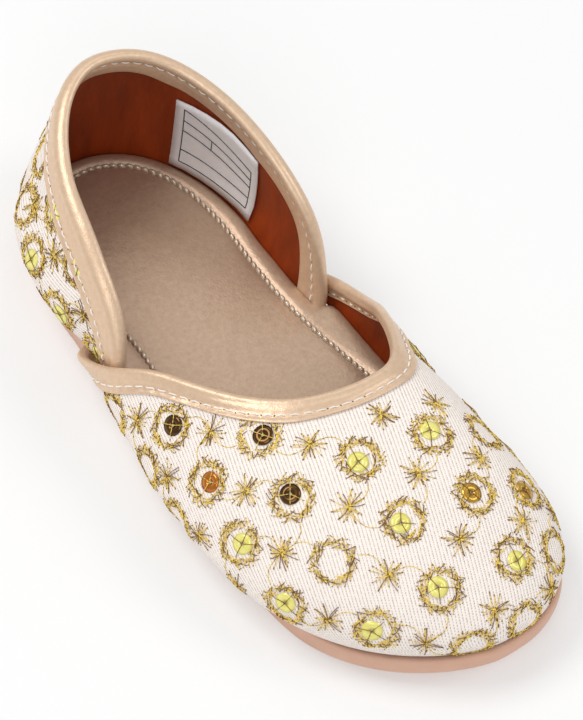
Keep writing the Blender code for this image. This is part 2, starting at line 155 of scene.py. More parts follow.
def sole_top(share):
    wedge = 1 - smoothstep(0.15, 0.60, share)
    return TREAD_THICKNESS + (HEEL_THICKNESS - TREAD_THICKNESS) * wedge + TOE_SPRING * np.clip(
        (share - 0.74) / (1 - 0.74), 0, 1) ** 2


def make_outline():
    rows = [(0.0, 0.0)] + [(s, -w) for s, w, _ in OUTLINE] + [(1.0, TOE_OFFSET)]
    rows += [(s, w) for s, _, w in reversed(OUTLINE)]
    points = np.array([(w * BALL_WIDTH, LENGTH / 2 - s * LENGTH) for s, w in rows])
    steps = np.linalg.norm(np.diff(np.concatenate([points, points[:1]]), axis=0), axis=1)
    return spline(np.concatenate([[0], np.cumsum(steps)]) / steps.sum(), points, closed=True)


outline = make_outline()
_round = np.linspace(0, 1, 2001)
_shares = share_at(outline(_round)[:, 1])
_tip = int(np.argmax(_shares))
_girth = run_along(outline(_round))


def outward(a):
    d = outline(a + 0.001) - outline(a - 0.001)
    return unit(np.stack([d[..., 1], -d[..., 0]], -1))


def round_at(side, share):
    """Place on the outline at a share of the length, on the outer or inner side."""
    share = np.clip(share, 0.0, _shares[_tip])
    if side == OUTER:
        return np.interp(share, _shares[:_tip + 1], _round[:_tip + 1])
    return np.interp(share, _shares[_tip:][::-1], _round[_tip:][::-1])


def girth_at(side, share):
    run = np.interp(round_at(side, share), _round, _girth)
    return run if side == OUTER else _girth[-1] - run


def round_at_girth(side, girth):
    return np.interp(girth if side == OUTER else _girth[-1] - girth, _girth, _round)


def wall(a, u, inset=0.0):
    """Point on the upper: a runs round the outline, u climbs from sole to crest."""
    a, u, inset = np.broadcast_arrays(np.asarray(a, float), u, inset)
    edge = outline(a)
    share = share_at(edge[..., 1])
    kept = np.clip(share, HEEL_POLE, TOE_POLE)
    centre = np.stack([spine_x(kept), LENGTH / 2 - kept * LENGTH], -1)
    side = edge[..., 0] < centre[..., 0]
    edge = edge - outward(a) * inset[..., None]
    power = np.where(side, plan_power[OUTER](share), plan_power[INNER](share))
    reach = np.clip(np.cos(u * math.pi / 2), 0, 1) ** power
    rise = np.sin(u * math.pi / 2) ** rise_power(share)
    arm = edge - centre
    # The swell is fullest low on the wall and runs out at the sole and the crest
    size = np.where(side, swell[OUTER](share), swell[INNER](share))
    size = size * np.sin(math.pi * (np.sqrt(u + 0.01) - 0.1) / 0.905) * (1 - u) ** 1.6
    arm = arm * (reach + size / np.linalg.norm(arm, axis=-1))[..., None]
    over = np.where(share > TOE_POLE, kept + (share - kept) * reach, kept)
    low = sole_top(share) + GAP
    z = low + (crown(over) - inset - low) * rise
    return np.concatenate([centre + arm, z[..., None]], -1) + PLACE


def climb_at(a, z, inset=0.0):
    share = share_at(outline(a)[..., 1])
    low = sole_top(share) + GAP
    top = crown(np.clip(share, HEEL_POLE, TOE_POLE)) - inset
    return np.arcsin(np.clip((z - low) / (top - low), 0, 1) ** (1 / rise_power(share))) * 2 / math.pi


def tuck():
    return (VAMP_WALL + 2 * (GAP + TAPE) + THROAT_PIPING + COLLAR_PIPING + WING_CLEARANCE - WING_FLARE)


def quarter_point(side, a, z, depth):
    share = share_at(outline(a)[..., 1])
    edge = throat_share[side](climb_at(a, z))
    inset = depth + tuck() * smoothstep(edge - TUCK_REACH, edge - 0.1 * TUCK_REACH, share)
    return wall(a, climb_at(a, z, inset), inset)


def collar_line(side, count=400):
    """Along the collar: girth round the heel, height, and the way into the quarter."""
    rows = np.array([(s * LENGTH, h * COLLAR_HEIGHT) for s, h in COLLAR]
                    + [(QUARTER_END * LENGTH, sole_top(QUARTER_END) + GAP)])
    run = run_along(rows)
    line = spline(run / run[-1], rows)(np.linspace(0, 1, count))
    place = np.stack([girth_at(side, line[:, 0] / LENGTH), line[:, 1]], -1)
    ahead = np.gradient(place, axis=0)
    ahead[0] = (1.0, 0.0)
    ahead = unit(ahead)
    return place, np.stack([ahead[:, 1], -ahead[:, 0]], -1)


def along_collar(distance, inset):
    """Points round the collar, a distance below its edge, from the outer side to the inner one."""
    halves = []
    for side in (OUTER, INNER):
        place, into = collar_line(side)
        place = place + into * distance
        keep = (place[:, 1] > sole_top(0.3) + 1 * MM) & (place[:, 0] > 0)
        a = round_at_girth(side, place[keep, 0])
        halves.append(quarter_point(side, a, place[keep, 1], inset))
    return np.concatenate([halves[OUTER][::-1], halves[INNER]])


def along_throat(distance, inset):
    """Points along the throat, a distance into the vamp from its edge."""
    halves = []
    u = np.linspace(0.03, 1.0, 120)
    for side in (OUTER, INNER):
        step = 0.01
        share = throat_share[side](u)
        here = wall(round_at(side, share), u)
        ahead = (wall(round_at(side, share + step), u) - here) / step
        line = unit(np.gradient(here, axis=0))
        size = np.linalg.norm(ahead, axis=-1)
        square = np.clip(np.linalg.norm(np.cross(line, ahead), axis=-1) / size, 0.35, 1.0)
        share = share + distance / (size * square)
        flare = WING_FLARE * (1 - smoothstep(FLARE_FULL, FLARE_END, share))
        halves.append(wall(round_at(side, share), u, inset - flare))
    middle = (halves[0][-1] + halves[1][-1]) / 2
    return np.concatenate([halves[OUTER][:-1], [middle], halves[INNER][::-1][1:]])


EDGE_ROUND = np.linspace(0, 1, 721)[:-1]


def footbed_inset(side, share):
    edge = throat_share[side](0.0)
    behind = tuck() * smoothstep(edge - TUCK_REACH, edge - 0.1 * TUCK_REACH, share) + QUARTER_WALL
    behind += (GAP + TAPE + COLLAR_PIPING) * smoothstep(0.24, 0.31, share)
    k = smoothstep(QUARTER_END + 0.012, QUARTER_END + 0.15, share)
    flare = WING_FLARE * (1 - smoothstep(FLARE_FULL, FLARE_END, share))
    return behind * (1 - k) + (VAMP_WALL - flare + GAP) * k + INSOLE_FIT


def eased(values, reach):
    """Closed row of values with each one averaged over its neighbours."""
    window = np.hanning(2 * reach + 3)[1:-1]
    row = np.concatenate([values[-reach:], values, values[:reach]])
    return np.convolve(row, window / window.sum(), "valid")


def along_footbed(inset, reach=0):
    """Closed line over the footbed, an inset from its edge, with the edge's bends eased over a reach."""
    a = EDGE_ROUND
    share = share_at(outline(a)[:, 1])
    edge = np.where(a < _round[_tip], footbed_inset(OUTER, share), footbed_inset(INNER, share))
    flat = outline(a) - outward(a) * (eased(edge, reach) + inset if reach else edge + inset)[:, None]
    return np.column_stack([flat, np.full(len(a), OVER_FOOTBED)]) + PLACE


# Helpers for meshes and materials

def linear(code):
    """An sRGB hex value as linear RGBA."""
    values = [int(code[i:i + 2], 16) / 255 for i in (1, 3, 5)]
    return (*[v / 12.92 if v <= 0.04045 else ((v + 0.055) / 1.055) ** 2.4 for v in values], 1.0)


def node(tree, kind, inputs=None, **settings):
    """Adds a shader node; an input takes a value or another node's output."""
    made = tree.nodes.new("ShaderNode" + kind)
    for name, value in settings.items():
        setattr(made, name, value)
    for name, value in (inputs or {}).items():
        if isinstance(value, bpy.types.NodeSocket):
            tree.links.new(value, made.inputs[name])
        else:
            made.inputs[name].default_value = value
    return made


def new_material(name, **values):
    material = bpy.data.materials.new(name)
    material.use_nodes = True
    shader = material.node_tree.nodes["Principled BSDF"]
    for key, value in values.items():
        shader.inputs[key.replace("_", " ")].default_value = value
    return material, material.node_tree, shader


def add_bump(tree, shader, height, distance, strength=1.0):
    bump = node(tree, "Bump", {"Height": height, "Distance": distance, "Strength": strength})
    tree.links.new(bump.outputs["Normal"], shader.inputs["Normal"])


def blend_colours(tree, factor, low, high):
    """Colour that runs from one hex value to another with a factor."""
    return node(tree, "Mix", {"Factor": factor, 6: linear(low), 7: linear(high)}, data_type="RGBA").outputs[2]


def paint(tree, shader, factor, low, high):
    """Base colour that runs from one hex value to another with a factor."""
    tree.links.new(blend_colours(tree, factor, low, high), shader.inputs["Base Color"])


def scaled_sum(tree, value, scale, plus):
    return node(tree, "Math", {0: value, 1: scale, 2: plus}, operation="MULTIPLY_ADD").outputs[0]


def spread(tree, value, low, high, start=0.0, end=1.0, **settings):
    """Carries the values between a low and a high one to the range from a start to an end."""
    return node(tree, "MapRange", {0: value, 1: low, 2: high, 3: start, 4: end}, **settings).outputs[0]


def wave(tree, value, pitch):
    """Sine of a length, with one wave to a pitch."""
    turn = node(tree, "Math", {0: value, 1: 2 * math.pi / pitch}, operation="MULTIPLY")
    return node(tree, "Math", {0: turn.outputs[0]}, operation="SINE").outputs[0]


def object_noise(tree, size, detail=3.0, roughness=0.55, stretch=(1, 1, 1)):
    """Noise on Object coordinates whose blobs are a size in metres."""
    place = node(tree, "Mapping", {0: node(tree, "TexCoord").outputs["Object"],
                                   "Scale": [s / size for s in stretch]})
    return node(tree, "TexNoise", {"Vector": place.outputs[0], "Scale": 1.0, "Detail": detail,
                                   "Roughness": roughness}).outputs[0]


def new_object(name, data):
    obj = bpy.data.objects.new(name, data)
    bpy.context.scene.collection.objects.link(obj)
    return obj


def soft_copy(source, name, levels=2, simple=False):
    """A smooth copy of a CAD node that stands for it."""
    bm = bmesh.new()
    bm.from_mesh(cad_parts[source].data)
    bmesh.ops.remove_doubles(bm, verts=bm.verts, dist=0.01 * MM)
    bmesh.ops.join_triangles(bm, faces=bm.faces, angle_face_threshold=math.radians(50),
                             angle_shape_threshold=math.radians(60))
    mesh = bpy.data.meshes.new(name)
    bm.to_mesh(mesh)
    bm.free()
    obj = new_object(name, mesh)
    smooth = obj.modifiers.new("smooth", "SUBSURF")
    smooth.levels = smooth.render_levels = levels
    smooth.subdivision_type = "SIMPLE" if simple else "CATMULL_CLARK"
    bake_modifiers(obj)
    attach(obj, "root")
    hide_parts(source)
    return obj


def dress(mesh, *materials):
    """Gives a mesh its materials, in the order of their slots."""
    mesh.materials.clear()
    for material in materials:
        mesh.materials.append(material)


def bake_modifiers(obj):
    """Leaves the modified mesh as the object's own."""
    shaped = bpy.data.meshes.new_from_object(obj.evaluated_get(bpy.context.evaluated_depsgraph_get()))
    obj.modifiers.clear()
    old, obj.data = obj.data, shaped
    bpy.data.meshes.remove(old)
    shaped.shade_smooth()


def vectors_of(items, key):
    """A vector of each vertex or face."""
    flat = np.empty(len(items) * 3)
    items.foreach_get(key, flat)
    return flat.reshape(-1, 3)


def coordinates(mesh):
    return vectors_of(mesh.vertices, "co")


def normals(mesh):
    return vectors_of(mesh.vertices, "normal")


def move_points(mesh, points):
    mesh.vertices.foreach_set("co", points.ravel())
    mesh.update()


def skin_of(obj, chosen=lambda face: True):
    """Search tree over an object's faces, or over the chosen ones."""
    mesh = obj.data
    faces = [tuple(face.vertices) for face in mesh.polygons if chosen(face)]
    return BVHTree.FromPolygons([v.co for v in mesh.vertices], faces)


def nearest(line, points):
    """For each point, the number of the closest place on a line and how far away it is."""
    tree = KDTree(len(line))
    for i, place in enumerate(line):
        tree.insert(place, i)
    tree.balance()
    found = [tree.find(p) for p in points]
    return np.array([f[1] for f in found]), np.array([f[2] for f in found])


def even_points(points, pitch, closed=False):
    """Points at an even pitch along a line."""
    if closed:
        points = np.concatenate([points, points[:1]])
    run = run_along(points)
    count = max(2, round(run[-1] / pitch))
    places = np.linspace(0, run[-1], count + 1)
    return np.stack([np.interp(places, run, points[:, k]) for k in range(3)], -1)


def onto(skin, point, lift=0.0):
    """The nearest place on a skin, lifted off it."""
    place, normal, _, _ = skin.find_nearest(Vector(point))
    return place + normal * lift


def thread_object(name, threads, material):
    """Round threads as one mesh; each thread is a list of (point, radius)."""
    curve = bpy.data.curves.new(name, "CURVE")
    curve.dimensions = "3D"
    curve.bevel_depth, curve.bevel_resolution, curve.use_fill_caps = 1.0, 0, True
    for thread in threads:
        line = curve.splines.new("POLY")
        line.points.add(len(thread) - 1)
        for point, (place, radius) in zip(line.points, thread):
            point.co, point.radius = (*place, 1.0), radius
    shape = new_object(name + "_curve", curve)
    mesh = bpy.data.meshes.new_from_object(shape.evaluated_get(bpy.context.evaluated_depsgraph_get()))
    bpy.data.objects.remove(shape)
    bpy.data.curves.remove(curve)
    dress(mesh, material)
    mesh.shade_smooth()
    obj = new_object(name, mesh)
    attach(obj, "root")
    return obj


# Materials

RIB_PITCH, YARN_PITCH, TREAD_PITCH = 0.95 * MM, 0.5 * MM, 4 * MM


def ribbed_cotton(colours):
    """Cream ribbed cotton: dull, with painted shade in thin dark furrows between fine cords along the shoe.
    """
    material, tree, shader = new_material("ribbed_cotton", Roughness=0.85, Sheen_Weight=0.1)
    weave = node(tree, "SeparateXYZ", {0: node(tree, "Attribute", attribute_name="weave").outputs["Vector"]})
    rib, yarn = wave(tree, weave.outputs[0], RIB_PITCH), wave(tree, weave.outputs[1], YARN_PITCH)
    slub = object_noise(tree, 0.7 * MM, 3.0)
    height = scaled_sum(tree, slub, 1.4, scaled_sum(tree, yarn, 0.22, rib))
    # Painted shade: the colour darkens towards the furrow tone where ribs and yarn dip, with the slub's
    # random tone mixed in
    tone = spread(tree, height, -0.55, 0.25, interpolation_type="SMOOTHSTEP")
    cloth = blend_colours(tree, tone, colours.furrow_shade_hex, colours.cloth_hex)
    # Painted shade: a dark, ragged line along the cut edge over the sole, where the cloth meets it
    hem = node(tree, "Attribute", attribute_name="hem").outputs[2]
    hem_shade = scaled_sum(tree, object_noise(tree, 0.9 * MM, 4.0), 2.4 * MM, hem)
    hem_shade = spread(tree, hem_shade, 1.95 * MM, 2.25 * MM, 1.0, 0.0)
    mixed = node(tree, "Mix", {"Factor": hem_shade, 6: cloth, 7: linear("#4A3526")}, data_type="RGBA")
    tree.links.new(mixed.outputs[2], shader.inputs["Base Color"])
    height = scaled_sum(tree, object_noise(tree, 6 * MM, 2.0), 7.0, height)
    add_bump(tree, shader, height, 0.10 * MM, 0.6)
    return material


def brushed_lining():
    """Rust-brown synthetic lining: smooth with a soft satin sheen and a fine nap."""
    material, tree, shader = new_material("brushed_lining", Roughness=0.55, Specular_IOR_Level=0.35)
    tone = object_noise(tree, 9 * MM, 3.0, stretch=(1.5, 1.5, 0.35))
    # Painted shade over a random tone: the noise that bumps the soft vertical creases also darkens the colour
    # in their hollows
    paint(tree, shader, tone, "#571A03", "#B0440A")
    add_bump(tree, shader, tone, 1.6 * MM, 0.5)
    return material


def champagne_leatherette(name, low, high, metallic, roughness, grain):
    """Coated leatherette with a metallic champagne film: soft glints over a fine pebbled grain."""
    material, tree, shader = new_material(name, Metallic=metallic, Coat_Weight=0.1, Coat_Roughness=0.4)
    place = node(tree, "Mapping", {0: node(tree, "TexCoord").outputs["Object"], "Scale": [1 / grain] * 3})
    pebble = node(tree, "TexVoronoi", {"Vector": place.outputs[0], "Scale": 1.0},
                  feature="SMOOTH_F1").outputs["Distance"]
    tone = object_noise(tree, 1.3 * MM, 5.0, 0.65)
    paint(tree, shader, tone, low, high)
    sheen = spread(tree, object_noise(tree, 0.8 * MM, 2.0), 0.0, 1.0, roughness - 0.08, roughness + 0.1)
    tree.links.new(sheen, shader.inputs["Roughness"])
    height = scaled_sum(tree, object_noise(tree, 5 * MM, 3.0), 5.0, pebble)
    add_bump(tree, shader, height, 0.07 * MM, 0.6)
    return material


def moulded_rubber(colours):
    """Thermoplastic rubber moulded in a satin tool: even colour, faint flow marks."""
    material, tree, shader = new_material("moulded_rubber", Roughness=0.46)
    tone = object_noise(tree, 9 * MM, 3.0)
    paint(tree, shader, tone, colours.sole_low_hex, colours.sole_hex)
    # Shallow tread bars, only on the ground face
    face = node(tree, "SeparateXYZ", {0: node(tree, "TexCoord").outputs["Object"]})
    bars = spread(tree, wave(tree, face.outputs[1], TREAD_PITCH), -0.2, 0.2)
    down = node(tree, "SeparateXYZ", {0: node(tree, "NewGeometry").outputs["Normal"]}).outputs[2]
    down = spread(tree, down, -0.9, -0.98)
    bars = node(tree, "Math", {0: bars, 1: down}, operation="MULTIPLY").outputs[0]
    height = scaled_sum(tree, object_noise(tree, 0.7 * MM, 2.0), 0.05, bars)
    add_bump(tree, shader, height, 0.5 * MM, 0.7)
    return material


def zari_thread(colours):
    """Metal-wrapped thread: painted glints of bright gold, with painted dark brown shade between them."""
    material, tree, shader = new_material("zari_thread", Metallic=0.25, Roughness=0.4)
    # Painted highlight and shade: noise, not the lamps, sets where the thread is bright gold or dark brown
    glint = spread(tree, object_noise(tree, 0.55 * MM, 1.0), 0.37, 0.49)
    paint(tree, shader, glint, colours.zari_shade_hex, colours.zari_hex)
    return material


def cotton_thread(name, low, high):
    """Spun thread: matt, with a tone that wavers along it."""
    material, tree, shader = new_material(name, Roughness=0.7)
    paint(tree, shader, object_noise(tree, 0.4 * MM, 2.0), low, high)
    return material


def plain_dark(name, code):
    """Flat dark tone: the shaded inside of a needle hole, or dull printing ink."""
    return new_material(name, Base_Color=linear(code), Roughness=0.9)[0]


def sequin_foil(name, low, high, metallic, roughness):
    """Stamped plastic foil: glossy, with a faint cloud in its tint."""
    material, tree, shader = new_material(name, Metallic=metallic, Roughness=roughness, Coat_Weight=0.3)
    paint(tree, shader, object_noise(tree, 2.2 * MM, 2.0), low, high)
    return material


def label_satin():
    """Woven satin label: white and smooth, with a fine cross weave."""
    material, tree, shader = new_material("label_satin", Roughness=0.5, Sheen_Weight=0.1)
    face = node(tree, "SeparateXYZ", {0: node(tree, "TexCoord").outputs["Object"]})
    paint(tree, shader, object_noise(tree, 3 * MM, 2.0), "#F1F0F3", "#FFFFFF")
    add_bump(tree, shader, wave(tree, face.outputs[2], YARN_PITCH), 0.04 * MM, 0.5)
    return material


def light_table():
    """Photographer's table: flat pale grey that glows a little, so the shadow stays thin."""
    material, tree, shader = new_material("light_table", Roughness=0.9, Emission_Strength=0.35,
                                          Emission_Color=(1, 1, 1, 1))
    paint(tree, shader, object_noise(tree, 0.4, 1.0), "#C5C5C5", "#C7C7C7")
    return material


# The photograph's view

PHOTO_WIDTH, PHOTO_HEIGHT = 583, 720
VIEW_AZIMUTH, VIEW_ELEVATION, VIEW_ROLL = -43.485, 52.209, 9.161
VIEW_DISTANCE, VIEW_FOCUS = 1.9472, 7957.6     # metres, pixels
VIEW_TARGET = (PLACE[0], PLACE[1], 20 * MM)
VIEW_OFFSET = (-3.234 * MM, -4.144 * MM)


def view_axes():
    """The camera's right, up and back directions, and its place."""
    a, e, r = (math.radians(v) for v in (VIEW_AZIMUTH, VIEW_ELEVATION, VIEW_ROLL))
    back = Vector((math.sin(a) * math.cos(e), -math.cos(a) * math.cos(e), math.sin(e)))
    right = Vector((math.cos(a), math.sin(a), 0.0))
    up = back.cross(right)
    right, up = right * math.cos(r) + up * math.sin(r), up * math.cos(r) - right * math.sin(r)
    place = Vector(VIEW_TARGET) - right * VIEW_OFFSET[0] - up * VIEW_OFFSET[1] + back * VIEW_DISTANCE
    return right, up, back, place


def look_through(skin, x, y):
    """The place on a skin under a pixel of the photograph, and its normal."""
    right, up, back, place = view_axes()
    ray = right * (x - PHOTO_WIDTH / 2) - up * (y - PHOTO_HEIGHT / 2) - back * VIEW_FOCUS
    point, normal, _, _ = skin.ray_cast(place, ray.normalized())
    return point, normal


# Embroidery. The places are read from the photograph, in its pixels

VAMP_WREATHS = (
    (170, 427, "dark"), (259, 436, "dark"), (360, 459, "lemon"), (432, 434, "lemon"), (484, 432, "none"),
    (207, 482, "amber"), (292, 498, "dark"), (404, 521, "lemon"), (475, 494, "gold"), (526, 489, "gold"),
    (239, 544, "lemon"), (333, 562, "none"), (441, 590, "lemon"), (514, 558, "lemon"), (556, 551, "none"),
    (285, 606, "lemon"), (376, 631, "lemon"), (526, 622, "none"), (473, 647, "none"),
    (115, 413, "none"), (147, 468, "none"), (179, 519, "none"))
VAMP_BURSTS = (
    (138, 420), (211, 432), (310, 445), (381, 415), (436, 404), (168, 477), (246, 491), (349, 507),
    (418, 473), (480, 459), (200, 535), (282, 553), (388, 576), (459, 539), (523, 521), (328, 620),
    (425, 643), (494, 611), (551, 590), (246, 597))
QUARTER_WREATHS = ((42, 155, "none"), (25, 205, "none"), (55, 210, "lemon"), (33, 256, "lemon"),
                   (77, 267, "lemon"), (58, 311, "lemon"), (97, 355, "lemon"))
QUARTER_BURSTS = ((35, 205), (55, 256), (85, 315))


FILL_TRIES = 700
SEQUIN_MIX = ("lemon", "lemon", "lemon", "none", "dark")
VINE_BOW, VINE_REACH = 0.28, 17 * MM
SEAM_CLEARANCE, HEM_CLEARANCE = 5.0 * MM, 3.5 * MM


class Spot:
    """A place on the cloth with its own flat directions."""

    def __init__(self, skin, point, normal, kind=None):
        self.skin, self.point, self.normal, self.kind = skin, Vector(point), Vector(normal), kind
        ahead = Vector((0, -1, 0))
        self.along = (ahead - self.normal * ahead.dot(self.normal)).normalized()
        self.across = self.normal.cross(self.along)

    def at(self, x, y, lift):
        return onto(self.skin, self.point + self.across * x + self.along * y, lift)

    def polar(self, radius, angle, lift):
        return self.at(radius * math.cos(angle), radius * math.sin(angle), lift)


def charted_spots(skin, chart):
    """Spots on the cloth at the chart's pixels."""
    spots = []
    for x, y, *kind in chart:
        point, normal = look_through(skin, x, y)
        if point is not None:
            spots.append(Spot(skin, point, normal, *kind))
    return spots


def fill_spots(skin, cloth, wreaths, bursts, rng, covered):
    """Carries the pattern on where the photograph doesn't show the cloth."""
    faces = [p for p in cloth.data.polygons if p.material_index == 0]
    weights = [p.area for p in faces]
    for spots, from_wreath, from_burst in ((wreaths, 15.5 * MM, 9.8 * MM), (bursts, 9.8 * MM, 12 * MM)):
        for face in rng.choices(faces, weights, k=FILL_TRIES):
            point, normal = face.center.copy(), face.normal.copy()
            wreath_away, burst_away = (min(((point - s.point).length for s in group), default=1.0)
                                       for group in (wreaths, bursts))
            if covered(point) or wreath_away <= from_wreath or burst_away <= from_burst:
                continue
            kind = rng.choice(SEQUIN_MIX) if spots is wreaths else None
            spots.append(Spot(skin, point, normal, kind))


def wreath_threads(spot, rng, sizes, threads, umber_and_shade_threads):
    """A ring of short criss-cross stitches with loose, knotted tips."""
    r = sizes.wreath / 2
    t = sizes.zari / 2
    for i in range(sizes.ring_stitches):
        a = (i + rng.random()) * 2 * math.pi / sizes.ring_stitches
        span = rng.uniform(0.3, 0.85) * rng.choice((-1, 1))
        r0, r1 = rng.uniform(0.50, 0.82) * r, rng.uniform(0.54, 0.92) * r
        lift = rng.uniform(0.1, 0.3) * MM
        # Painted shade: about a quarter of the ring stitches are dark umber, standing for the gold's shaded
        # side
        (umber_and_shade_threads if rng.random() < 0.24 else threads).append(
            [(spot.polar(r0 + (r1 - r0) * k, a + span * k, lift * (1 - abs(2 * k - 1)) + 0.06 * MM),
              t * rng.uniform(0.8, 1.1)) for k in (0, 0.5, 1)])
    for i in range(sizes.tip_stitches):
        a = (i + rng.random()) * 2 * math.pi / sizes.tip_stitches
        span = rng.uniform(0.08, 0.5) * (1 if i % 2 else -1)
        r0, r1 = rng.uniform(0.60, 0.78) * r, rng.uniform(0.82, 1.06) * r
        lift = rng.uniform(0.15, 0.4) * MM
        line = [(spot.polar(r0 + (r1 - r0) * k, a + span * k, lift * (1 - abs(2 * k - 1)) + 0.05 * MM), t * w)
                for k, w in ((0, 0.9), (0.5, 1.0), (0.9, 0.9), (1, 1.4))]
        # Painted shade: some tip stitches are dark umber; each tip's knot is umber too
        (umber_and_shade_threads if rng.random() < 0.3 else threads).append(line[:3])
        umber_and_shade_threads.append(line[2:])


def burst_threads(spot, rng, sizes, threads, umber_and_shade_threads):
    """Uneven stitches that run out from one point, each with a small knot at its tip."""
    r = sizes.burst / 2
    t = sizes.zari / 2
    turn = rng.random()
    for i in range(sizes.rays):
        a = (i + turn + rng.uniform(-0.35, 0.35)) * 2 * math.pi / sizes.rays
        reach = r * rng.uniform(0.6, 1.1)
        bend = rng.uniform(-0.25, 0.25)
        lift = rng.uniform(0.2, 0.45) * MM
        for side in ((-1, 1) if rng.random() < 0.35 else (0,)):
            line = [(spot.polar(max(0.2 * MM, reach * k), a + side * 0.14 * (1 - k * k) + bend * k * k,
                                lift * (1 - k) + 0.10 * MM), t * w)
                    for k, w in ((0.02, 1.0), (0.45, 0.85), (0.9, 0.85), (1.0, 1.4))]
            # Painted shade: some rays are dark umber; each ray's tip knot is umber too
            (umber_and_shade_threads if rng.random() < 0.3 else threads).append(line[:3])
            umber_and_shade_threads.append(line[2:])


def vine_thread(start, end, bow, sizes, skin):
    """A single thread laid in a curve from a wreath to a burst."""
    way = end.point - start.point
    side = start.normal.cross(way).normalized() * way.length * bow
    points = []
    for i in range(13):
        k = i / 12
        place = start.point + way * k + side * math.sin(math.pi * k ** 1.3)
        if (place - start.point).length > sizes.wreath * 0.42:
            points.append((onto(skin, place, 0.1 * MM), sizes.zari * 0.42))
    return points


def sequin_mesh(bm, spot, rng, sizes):
    """A stamped disc with a pierced middle, lying off the wreath's centre."""
    a = rng.uniform(0, 2 * math.pi)
    middle = spot.polar(0.16 * sizes.wreath / 2, a, 0.3 * MM)
    tilt = Matrix.Rotation(math.radians(rng.uniform(-6, 6)), 3, spot.along)
    flat = Matrix((spot.across, spot.along, spot.normal)).transposed()
    place = Matrix.Translation(middle) @ (tilt @ flat).to_4x4()
    rim = bmesh.ops.create_circle(bm, cap_ends=False, segments=20, radius=0.42 * MM, matrix=place)["verts"]
    edges = list({e for v in rim for e in v.link_edges})
    for radius, rise in ((1.6, 0.05), (sizes.sequin / 2 / MM, -0.12)):
        made = bmesh.ops.extrude_edge_only(bm, edges=edges)["geom"]
        verts = [g for g in made if isinstance(g, bmesh.types.BMVert)]
        edges = [g for g in made if isinstance(g, bmesh.types.BMEdge)]
        here = sum((v.co for v in verts), Vector()) / len(verts)
        now = (verts[0].co - here).length
        bmesh.ops.scale(bm, verts=verts, vec=(radius * MM / now,) * 3, space=Matrix.Translation(-here))
        bmesh.ops.translate(bm, verts=verts, vec=spot.normal * rise * MM)
    return middle, a


def sequin_threads(spot, middle, angle, rng, sizes):
    """The thread that crosses a sequin and holds it."""
    threads = []
    centre = middle + spot.normal * 0.12 * MM
    for turn in (0.3, 2.2, 3.6, 5.0):
        a = angle + turn + rng.uniform(-0.25, 0.25)
        reach = sizes.wreath / 2 * rng.uniform(0.55, 0.7)
        end = middle + spot.across * math.cos(a) * reach + spot.along * math.sin(a) * reach
        edge = middle + (end - middle) * min(1, sizes.sequin / 2 / reach) + spot.normal * 0.12 * MM
        threads.append([(centre, sizes.zari * 0.42), (edge, sizes.zari * 0.42),
                        (onto(spot.skin, end, 0.1 * MM), sizes.zari * 0.4)])
    return threads


# Settings that a user would change

def length(name, text, value):
    return FloatProperty(name=name, description=text, default=value, subtype="DISTANCE", unit="LENGTH",
                         min=0.0, precision=5)


def hex_colour(name, text, value):
    return StringProperty(name=name, description=text + ", sRGB hex", default=value)


class MojariSizes(bpy.types.PropertyGroup):
    wreath: length("Wreath", "Diameter of a stitched wreath", 12.6 * MM)
    burst: length("Burst", "Diameter of a star of stitches", 8.8 * MM)
    zari: length("Zari thread", "Diameter of the gold thread", 0.23 * MM)
    sequin: length("Sequin", "Diameter of a sequin", 5.3 * MM)
    ring_stitches: IntProperty(name="Ring stitches", description="Stitches round a wreath", default=52, min=4)
    tip_stitches: IntProperty(name="Tip stitches", description="Spiky stitches of a wreath", default=54,
                              min=4)
    rays: IntProperty(name="Rays", description="Stitches in a burst", default=17, min=3)
    throat_pitch: length("Throat stitch", "Length of a stitch along the throat", 3.3 * MM)
    collar_pitch: length("Collar stitch", "Length of a stitch along the collar", 3.0 * MM)
    bead_pitch: length("Bead pitch", "Distance between the beads round the footbed", 2.0 * MM)


class MojariColours(bpy.types.PropertyGroup):
    cloth_hex: hex_colour("Cloth", "Cream cotton", "#FDF3EB")
    # Painted shade for the furrows between the ribs
    furrow_shade_hex: hex_colour("Cloth groove", "Between the ribs", "#BFAEA0")
    zari_hex: hex_colour("Zari", "Gold thread", "#FBDC6C")
    # Painted shade of the gold thread between its painted glints
    zari_shade_hex: hex_colour("Zari shade", "Gold thread between its glints", "#744C0A")
    sole_hex: hex_colour("Sole", "Rubber", "#DFB49B")
    sole_low_hex: hex_colour("Sole shade", "Low tone of the rubber", "#CD9E86")


def sizes():
    return bpy.context.scene.mojari_sizes


def colours():
    return bpy.context.scene.mojari_colours


# Operators, one for each piece or group of like pieces

class MOJARI_OT_sole(bpy.types.Operator):
    """Moulded rubber sole"""
    bl_idname = "mojari.sole"
    bl_label = "Sole"

    def execute(self, context):
        sole = soft_copy("outsole", "sole")
        dress(sole.data, moulded_rubber(colours()))
        return {"FINISHED"}


class MOJARI_OT_footbed(bpy.types.Operator):
    """Padded footbed, with the groove for its stitched bead line"""
    bl_idname = "mojari.footbed"
    bl_label = "Footbed"

    def execute(self, context):
        footbed = soft_copy("insole", "footbed")
        mesh = footbed.data
        dress(mesh, champagne_leatherette("footbed_leatherette", "#B0927A", "#D2B79E", 0.55, 0.42, 0.5 * MM))
        move_points(mesh, fill_to_lining(coordinates(mesh)))
        points = coordinates(mesh)
        _, away = nearest(bead_line(skin_of(footbed)), points)
        up = np.clip(normals(mesh)[:, 2], 0, 1)
        points[:, 2] -= up * BEAD_GROOVE_DEPTH * np.exp(-(away / BEAD_GROOVE_WIDTH) ** 2)
        move_points(mesh, points)
        return {"FINISHED"}


BEAD_GROOVE_DEPTH, BEAD_GROOVE_WIDTH = 0.45 * MM, 0.9 * MM
# What the foam leaves free, how far it looks for the lining, its most and its spread
FILL_SLACK, FILL_REACH, FILL_MOST, FILL_SPREAD = 0.5 * MM, 9 * MM, 6.5 * MM, 3.6 * MM


